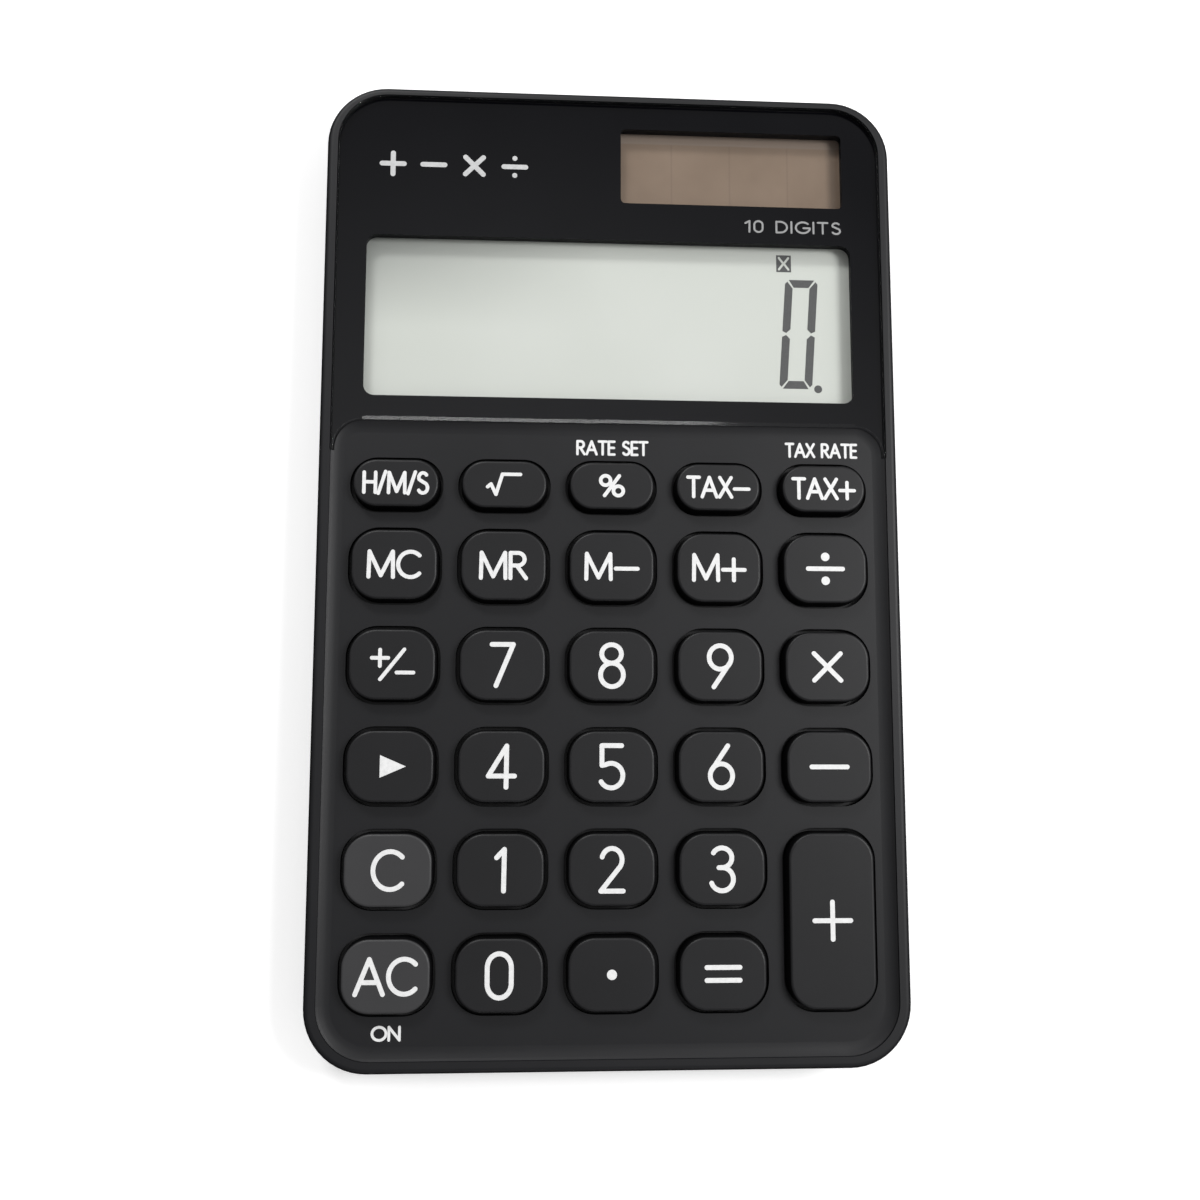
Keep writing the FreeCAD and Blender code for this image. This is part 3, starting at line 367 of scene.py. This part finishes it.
# A monoline alphabet of the calculator's own: each sign is (width, strokes), on a height of 1.
# Sharp corners are where two strokes meet.
SIGNS = {
    "0": (0.56, [
        arc(0.28, 0.68, 0.28, 0.32, 0, 180) + arc(0.28, 0.32, 0.28, 0.32, 180, 270),
        arc(0.28, 0.32, 0.28, 0.32, 270, 360) + [(0.56, 0.68)],
    ]),
    "1": (0.30, [[(0.0, 0.80), (0.28, 1.0)], [(0.28, 1.0), (0.26, 0.0)]]),
    "2": (0.62, [
        arc(0.31, 0.73, 0.28, 0.27, 165, -35) + [(0.0, 0.0)],
        [(0.0, 0.0), (0.62, 0.0)],
    ]),
    "3": (0.60, [
        arc(0.30, 0.77, 0.255, 0.23, 150, -90) + [(0.22, 0.54)],
        [(0.22, 0.54)] + arc(0.30, 0.27, 0.29, 0.27, 90, -160),
    ]),
    "4": (0.72, [
        [(0.50, 1.0), (0.0, 0.27)],
        [(0.0, 0.27), (0.72, 0.27)],
        [(0.50, 1.0), (0.49, 0.0)],
    ]),
    "5": (0.60, [
        [(0.55, 1.0), (0.06, 1.0)],
        [(0.06, 1.0), (0.06, 0.53)],
        [(0.06, 0.53)] + arc(0.29, 0.29, 0.29, 0.29, 118, -150),
    ]),
    "6": (0.58, [
        [(0.46, 1.0)] + arc(0.29, 0.285, 0.285, 0.285, 157, 180),
        *ring(0.29, 0.285, 0.285, 0.285),
    ]),
    "7": (0.60, [[(0.0, 1.0), (0.60, 1.0)], [(0.60, 1.0), (0.12, 0.0)]]),
    "8": (0.58, [*ring(0.28, 0.78, 0.25, 0.22), *ring(0.29, 0.28, 0.29, 0.28)]),
    "9": (0.58, [
        [(0.12, 0.0)] + arc(0.29, 0.715, 0.285, 0.285, -23, 0),
        *ring(0.29, 0.715, 0.285, 0.285),
    ]),
    "A": (0.84, [
        [(0.0, 0.0), (0.42, 1.0)],
        [(0.42, 1.0), (0.84, 0.0)],
        [(0.15, 0.34), (0.69, 0.34)],
    ]),
    "C": (0.88, [arc(0.48, 0.5, 0.48, 0.5, 45, 315)]),
    "D": (0.72, [
        [(0.0, 0.0), (0.0, 1.0)],
        [(0.0, 1.0), (0.24, 1.0)] + arc(0.24, 0.5, 0.48, 0.5, 90, -90) + [(0.0, 0.0)],
    ]),
    "G": (0.90, [
        arc(0.48, 0.5, 0.48, 0.5, 45, 345),
        [(0.944, 0.37), (0.944, 0.46)],
        [(0.52, 0.46), (0.944, 0.46)],
    ]),
    "I": (0.0, [[(0, 0), (0, 1)]]),
    "E": (0.48, [
        [(0.48, 1.0), (0.0, 1.0)],
        [(0.0, 1.0), (0.0, 0.0)],
        [(0.0, 0.0), (0.48, 0.0)],
        [(0.0, 0.52), (0.44, 0.52)],
    ]),
    "H": (0.66, [[(0, 0), (0, 1)], [(0.66, 0), (0.66, 1)], [(0, 0.52), (0.66, 0.52)]]),
    "M": (0.98, [
        [(0.02, 0.0), (0.04, 1.0)],
        [(0.04, 1.0), (0.49, 0.06)],
        [(0.49, 0.06), (0.94, 1.0)],
        [(0.94, 1.0), (0.96, 0.0)],
    ]),
    "N": (0.74, [[(0, 0), (0, 1)], [(0, 1), (0.74, 0)], [(0.74, 0), (0.74, 1)]]),
    "O": (0.98, ring(0.49, 0.5, 0.49, 0.5)),
    "R": (0.60, [
        [(0.0, 0.0), (0.0, 1.0)],
        [(0.0, 1.0), (0.28, 1.0)] + arc(0.28, 0.75, 0.26, 0.25, 90, -90) + [(0.0, 0.5)],
        [(0.24, 0.5), (0.60, 0.0)],
    ]),
    "S": (0.56, [
        arc(0.28, 0.76, 0.24, 0.24, 35, 200) + arc(0.28, 0.26, 0.27, 0.26, 75, -150),
    ]),
    "T": (0.66, [[(0, 1), (0.66, 1)], [(0.33, 1), (0.33, 0)]]),
    "X": (0.70, [[(0, 0), (0.68, 1)], [(0.70, 0), (0.02, 1)]]),
    "/": (0.40, [[(0.0, -0.04), (0.40, 1.04)]]),
    "%": (0.92, [
        *ring(0.20, 0.76, 0.20, 0.24),
        *ring(0.72, 0.24, 0.20, 0.24),
        [(0.16, 0.0), (0.76, 1.0)],
    ]),
    "+": (0.84, [[(0, 0.42), (0.84, 0.42)], [(0.42, 0), (0.42, 0.84)]]),
    "-": (0.84, [[(0, 0.42), (0.84, 0.42)]]),
    " ": (0.34, []),
}


def stroke_outline(points, half):
    """The closed outline of a round-ended stroke along smooth points."""
    line = [Vector(p) for p in points]
    left, right = [], []
    for index, point in enumerate(line):
        before = line[max(index - 1, 0)]
        after = line[min(index + 1, len(line) - 1)]
        along = (after - before).normalized()
        side = Vector((-along.y, along.x)) * half
        left.append(point + side)
        right.append(point - side)
    caps = []
    for end, inner in ((line[-1], line[-2]), (line[0], line[1])):
        heading = (end - inner).normalized()
        bearing = math.atan2(heading.y, heading.x)
        turns = [bearing + math.pi / 2 - math.pi * k / 12 for k in range(1, 12)]
        caps.append([end + Vector((math.cos(a), math.sin(a))) * half for a in turns])
    return (left + caps[0] + right[::-1] + caps[1])[::-1]


def text_strokes(text, width, height, weight, gap=0.22):
    """Centrelines of a line of signs about the origin, for printing at a width, height and weight."""
    strokes = []
    pen = 0.0
    for sign in text:
        advance, lines = SIGNS[sign]
        strokes += [[(pen + x, y) for x, y in line] for line in lines]
        pen += advance + gap
    xs = [x for stroke in strokes for x, _ in stroke]
    ys = [y for stroke in strokes for _, y in stroke]
    middle = (min(xs) + max(xs)) / 2, (min(ys) + max(ys)) / 2
    across = (width - weight) / (max(xs) - min(xs))
    up = height - weight
    return [[((x - middle[0]) * across, (y - middle[1]) * up) for x, y in stroke]
            for stroke in strokes]


def disc(x, y, radius):
    return [(x + radius * math.cos(math.tau * k / 28), y + radius * math.sin(math.tau * k / 28))
            for k in range(28)]


def print_shape(name, outlines, place, top, body, material, thick=0.05 * MM):
    """Join closed outlines, in metres about a place, into one thin solid whose face is at top."""
    corners, faces = [], []
    for outline in outlines:
        start = len(corners)
        corners += [Vector(p) for p in outline]
        faces.append(list(range(start, len(corners))))
    found, _, triangles, _, _, owners = delaunay_2d_cdt(corners, [], faces, 1, 1e-7)
    mesh = bpy.data.meshes.new(name)
    work = bmesh.new()
    spots = [work.verts.new((place[0] + p.x, place[1] + p.y, top)) for p in found]
    for triangle, owner in zip(triangles, owners):
        if owner:
            work.faces.new([spots[k] for k in triangle])
    loose = [v for v in work.verts if not v.link_faces]
    bmesh.ops.delete(work, geom=loose, context="VERTS")
    bmesh.ops.dissolve_limit(work, angle_limit=0.01, verts=work.verts, edges=work.edges)
    bmesh.ops.triangulate(work, faces=work.faces)
    sides = bmesh.ops.extrude_face_region(work, geom=work.faces[:])
    moved = [g for g in sides["geom"] if isinstance(g, bmesh.types.BMVert)]
    bmesh.ops.translate(work, verts=moved, vec=(0, 0, -thick))
    bmesh.ops.recalc_face_normals(work, faces=work.faces)
    work.to_mesh(mesh)
    work.free()
    piece = bpy.data.objects.new(name, mesh)
    bpy.context.collection.objects.link(piece)
    paint(piece, material)
    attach(piece, body)
    return piece


def key_face(key):
    """The middle of a key's top."""
    low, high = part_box(key)
    return (low[0] + high[0]) / 2, (low[1] + high[1]) / 2, high[2]


PROUD = 0.015 * MM


def print_on(name, body, place, level, strokes, weight, material, extra=()):
    """Print strokes and closed outlines, given in millimetres about a place, onto a level."""
    outlines = [stroke_outline(line, weight / 2) for line in strokes] + list(extra)
    outlines = [[(px * MM, py * MM) for px, py in outline] for outline in outlines]
    return print_shape(name, outlines, place, level + PROUD, body, material)


def key_legend(key, strokes, weight, extra=()):
    x, y, top = key_face(key)
    print_on(f"legend_{key}", key, (x, y), top, strokes, weight, INK, extra)


# width, height and line weight of each printed key, in millimetres
KEY_TEXTS = {
    "key_0": ("0", 3.3, 5.45, 0.56),
    "key_1": ("1", 1.45, 5.25, 0.56),
    "key_2": ("2", 3.15, 5.4, 0.56),
    "key_3": ("3", 3.1, 5.45, 0.56),
    "key_4": ("4", 3.6, 5.3, 0.56),
    "key_5": ("5", 3.1, 5.45, 0.56),
    "key_6": ("6", 3.2, 5.45, 0.56),
    "key_7": ("7", 3.05, 5.4, 0.56),
    "key_8": ("8", 3.25, 5.5, 0.56),
    "key_9": ("9", 3.2, 5.45, 0.56),
    "key_clear": ("C", 3.85, 4.8, 0.54),
    "key_all_clear": ("AC", 7.3, 4.4, 0.54),
    "key_memory_clear": ("MC", 6.4, 3.5, 0.48),
    "key_memory_recall": ("MR", 5.8, 3.5, 0.48),
    "key_memory_minus": ("M-", 6.6, 3.5, 0.48),
    "key_memory_plus": ("M+", 6.6, 3.5, 0.48),
    "key_time": ("H/M/S", 7.9, 2.85, 0.42),
    "key_tax_minus": ("TAX-", 7.8, 2.8, 0.42),
    "key_tax_plus": ("TAX+", 7.9, 2.8, 0.42),
    "key_percent": ("%", 3.15, 2.85, 0.44),
}
for key, (text, width, height, weight) in KEY_TEXTS.items():
    key_legend(key, text_strokes(text, width, height, weight, gap=0.17), weight)

BAR = 0.55
key_legend("key_root", [
    [(-2.0, -0.35), (-1.6, 0.0)],
    [(-1.6, 0.0), (-1.0, -1.25)],
    [(-1.0, -1.25), (-0.25, 1.2)],
    [(-0.25, 1.2), (1.9, 1.2)],
], 0.42)
key_legend("key_divide", [[(-2.1, 0), (2.1, 0)]], BAR, [disc(0, 1.45, 0.52), disc(0, -1.45, 0.52)])
key_legend("key_multiply", [[(-1.6, -1.6), (1.6, 1.6)], [(-1.6, 1.6), (1.6, -1.6)]], BAR)
key_legend("key_minus", [[(-2.12, 0), (2.12, 0)]], BAR)
key_legend("key_plus", [[(-2.12, 0), (2.12, 0)], [(0, -2.12), (0, 2.12)]], BAR)
key_legend("key_equals", [[(-1.92, 0.72), (1.92, 0.72)], [(-1.92, -0.72), (1.92, -0.72)]], BAR)
key_legend("key_point", [], 0, [disc(0, 0, 0.58)])
key_legend("key_backspace", [], 0, [[(-1.15, -1.3), (1.85, 0.0), (-1.15, 1.3)]])
key_legend("key_sign", [
    [(-2.35, 0.75), (-0.45, 0.75)],
    [(-1.4, -0.2), (-1.4, 1.7)],
    [(-1.35, -1.75), (1.4, 1.75)],
    [(0.55, -0.95), (2.5, -0.95)],
], 0.44)

# small print on the face, set out in millimetres from the keys that it belongs to
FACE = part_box("display_panel")[0][2]
FACE_WEIGHT = 0.31
for name, text, key, offset, size in (
    ("face_rate_set", "RATE SET", "key_percent", (0.15, 4.95), (8.8, 1.9)),
    ("face_tax_rate", "TAX RATE", "key_tax_plus", (0.1, 5.05), (9.0, 1.9)),
    ("face_on", "ON", "key_all_clear", (0.05, -6.5), (3.4, 1.75)),
):
    x, y, _ = key_face(key)
    place = (x + offset[0] * MM, y + offset[1] * MM)
    strokes = text_strokes(text, *size, FACE_WEIGHT, gap=0.2)
    print_on(name, "case", place, FACE, strokes, FACE_WEIGHT, INK)


def back_print():
    """The black print on the plate's rear: the mask's own shape, raised into the plate by a hair."""
    mask = NODES["panel_mask"]
    mesh = mask.data.copy()
    mesh.transform(mask.matrix_world)
    mesh.transform(Matrix.Translation((0, 0, PROUD)))
    piece = bpy.data.objects.new("back_print", mesh)
    bpy.context.collection.objects.link(piece)
    paint(piece, LOOKS["panel_mask"])
    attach(piece, "case")


back_print()
PRINT_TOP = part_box("panel_mask")[1][2] + PROUD

# a plain row of the four operations and a plain capacity note, under the clear plate
ARM, DIAGONAL, DOT = 1.35, 1.1, 0.02
SIGN_PITCH, SIGN_WEIGHT, NOTE_WEIGHT = 5.0, 0.62, 0.24
ACROSS = [(-ARM, 0), (ARM, 0)]
signs = []
for column, sign in enumerate((
    [ACROSS, [(0, -ARM), (0, ARM)]],
    [ACROSS],
    [[(-DIAGONAL, -DIAGONAL), (DIAGONAL, DIAGONAL)], [(-DIAGONAL, DIAGONAL), (DIAGONAL, -DIAGONAL)]],
    [ACROSS, [(0, DIAGONAL), (0, DIAGONAL + DOT)], [(0, -DIAGONAL - DOT), (0, -DIAGONAL)]],
)):
    signs += [[(x + (column - 1.5) * SIGN_PITCH, y) for x, y in line] for line in sign]
print_on("operation_signs", "case", (-19.5 * MM, 49.4 * MM), PRINT_TOP, signs, SIGN_WEIGHT, MARK)
print_on("capacity_note", "case", (22.8 * MM, 42.5 * MM), PRINT_TOP,
         text_strokes("10 DIGITS", 12.2, 1.65, NOTE_WEIGHT, gap=0.3), NOTE_WEIGHT, SMALL)

# ---------------------------------------------------------------- display content

FILM_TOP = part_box("lcd_polariser")[1][2]
DIGIT_WIDTH, DIGIT_HEIGHT, DIGIT_LEAN = 4.14, 14.1, 0.07
SEGMENT_WIDTH, SEGMENT_GAP = 1.0, 0.13


def zero_segments():
    """The six outer segments of a seven-segment digit, leaning right, from its lower left."""
    w, h, t, g = DIGIT_WIDTH, DIGIT_HEIGHT, SEGMENT_WIDTH, SEGMENT_GAP
    mid = h / 2
    cap = [(0.45, h), (w - 0.45, h), (w - t - g, h - t), (t + g, h - t)]
    side = [
        (0, mid + g + t / 4),
        (t / 2, mid + g),
        (t, mid + g + t / 2),
        (t, h - t - g),
        (0.28, h - 0.22),
        (0, h - 0.55),
    ]
    upper = [cap, side, [(w - x, y) for x, y in side][::-1]]
    lower = [[(x, h - y) for x, y in outline][::-1] for outline in upper]
    return [[(x + y * DIGIT_LEAN, y) for x, y in outline] for outline in upper + lower]


def boxed_cross(half_wide, half_high, line, arm):
    """A dark box with a light cross in it: a frame and the four fields between the arms."""
    a, b = half_wide, half_high
    c, d = a - line, b - line
    return [
        [(-a, -b), (a, -b), (a, -d), (-a, -d)],
        [(-a, d), (a, d), (a, b), (-a, b)],
        [(-a, -b), (-c, -b), (-c, b), (-a, b)],
        [(c, -b), (a, -b), (a, b), (c, b)],
        [(-c + arm, d), (0, arm), (c - arm, d)][::-1],
        [(-c + arm, -d), (c - arm, -d), (0, -arm)],
        [(-c, -d + arm), (-arm, 0), (-c, d - arm)],
        [(c, -d + arm), (c, d - arm), (arm, 0)],
    ]


def counter_clockwise(outline):
    turn = sum(p[0] * q[1] - q[0] * p[1] for p, q in zip(outline, outline[1:] + outline[:1]))
    return outline if turn > 0 else outline[::-1]


for name, place, outlines in (
    ("lcd_zero", (21.09, 22.2), zero_segments() + [disc(4.9, 0.0, 0.5)]),
    ("lcd_cross_sign", (21.9, 38.4), boxed_cross(0.94, 1.1, 0.22, 0.2)),
):
    outlines = [counter_clockwise(outline) for outline in outlines]
    print_on(name, "case", (place[0] * MM, place[1] * MM), FILM_TOP, [], 0, SEGMENT, outlines)

# ---------------------------------------------------------------- stage, light and camera

EYE = Vector((-10.93, -24.39, 160.42)) * MM
EYE_TURN = (math.radians(7.26), math.radians(-3.578), math.radians(0.068))
EYE_FOCAL = 39.0

FLOOR_HALF = 1.2
FLOOR_DROP = 0.1 * MM
FLOOR_GLOW = 0.4
FLOOR_BOUNCE = 0.03

# strengths of the sky overhead and at its zenith, and of its bright band
SKY_LOW = 0.20
SKY_CROWN = 0.60
SKY_BAND = 0.9

# place and size in metres, power in watts; all of them face the origin
LAMPS = {
    "key_light": ((0.35, 0.07, 0.43), (0.14, 0.18), 1.7),
    "back_light": ((-0.22, 0.55, 0.42), (0.20, 0.12), 2.1),
    "fill_light": ((-0.8, 0.45, 0.75), (0.6, 0.6), 0.7),
    "low_strip": ((0.0, -1.0, 0.26), (0.34, 0.08), 0.42),
}


def white_paper():
    """A lit white sheet that throws only a little of its light back at the object's dark sides."""
    graph = Graph("floor_paper")
    patch = graph.remap(graph.noise(60 * MM), 0, 1)
    sheet = graph.add("ShaderNodeBsdfDiffuse", Color=graph.blend(patch, (0.89,) * 3, (0.91,) * 3))
    glow = graph.add("ShaderNodeEmission", Strength=FLOOR_GLOW)
    lit = graph.add("ShaderNodeAddShader")
    graph.join(sheet.outputs[0], lit.inputs[0])
    graph.join(glow.outputs[0], lit.inputs[1])
    dim = graph.add("ShaderNodeBsdfDiffuse", Color=(FLOOR_BOUNCE,) * 3)
    seen = graph.add("ShaderNodeLightPath").outputs["Is Camera Ray"]
    return graph.finish(graph.mix(seen, dim.outputs[0], lit.outputs[0]))


def add_floor():
    mesh = bpy.data.meshes.new("floor")
    half = FLOOR_HALF
    corners = [(-half, -half, 0), (half, -half, 0), (half, half, 0), (-half, half, 0)]
    mesh.from_pydata(corners, [], [(0, 1, 2, 3)])
    floor = bpy.data.objects.new("floor", mesh)
    floor.location.z = -FLOOR_DROP
    bpy.context.collection.objects.link(floor)
    paint(floor, white_paper())


def add_camera():
    data = bpy.data.cameras.new("camera")
    data.lens = EYE_FOCAL
    data.sensor_width = 36.0
    data.clip_start = 0.01
    camera = bpy.data.objects.new("camera", data)
    camera.location = EYE
    camera.rotation_euler = Euler(EYE_TURN)
    bpy.context.collection.objects.link(camera)
    bpy.context.scene.camera = camera


def add_lamp(name, place, size, power):
    data = bpy.data.lights.new(name, "AREA")
    data.shape = "RECTANGLE"
    data.size, data.size_y = size
    data.energy = power
    lamp = bpy.data.objects.new(name, data)
    lamp.location = place
    lamp.rotation_euler = (-Vector(place)).to_track_quat("-Z", "Y").to_euler()
    bpy.context.collection.objects.link(lamp)


def add_sky():
    """Soft room light: a band between horizon and zenith, brighter to the right and the back."""
    sky = Graph("studio", world=True)
    way = sky.axes(sky.add("ShaderNodeTexCoord").outputs["Generated"])
    rise = sky.remap(way["Z"], 0, SKY_BAND, 0.30, 0.55)
    fall = sky.remap(way["Z"], 1, 0, 0.70, 0.86)
    lean = sky.maths("ADD", sky.maths("MULTIPLY", way["X"], 0.7), sky.maths("MULTIPLY", way["Y"], 0.5))
    around = sky.remap(lean, 0.05, 1.1, -0.45, 0.35)
    band = sky.maths("MULTIPLY", sky.maths("MULTIPLY", rise, fall), around)
    crown = sky.remap(way["Z"], SKY_LOW, SKY_CROWN, 0.88, 0.98)
    glow = sky.add("ShaderNodeBackground", Color=(1, 1, 1), Strength=sky.maths("ADD", band, crown))
    bpy.context.scene.world = sky.finish(glow.outputs[0])


add_floor()
add_camera()
for lamp_name, (place, size, power) in LAMPS.items():
    add_lamp(lamp_name, place, size, power)
add_sky()
bpy.context.scene.view_settings.view_transform = "Standard"
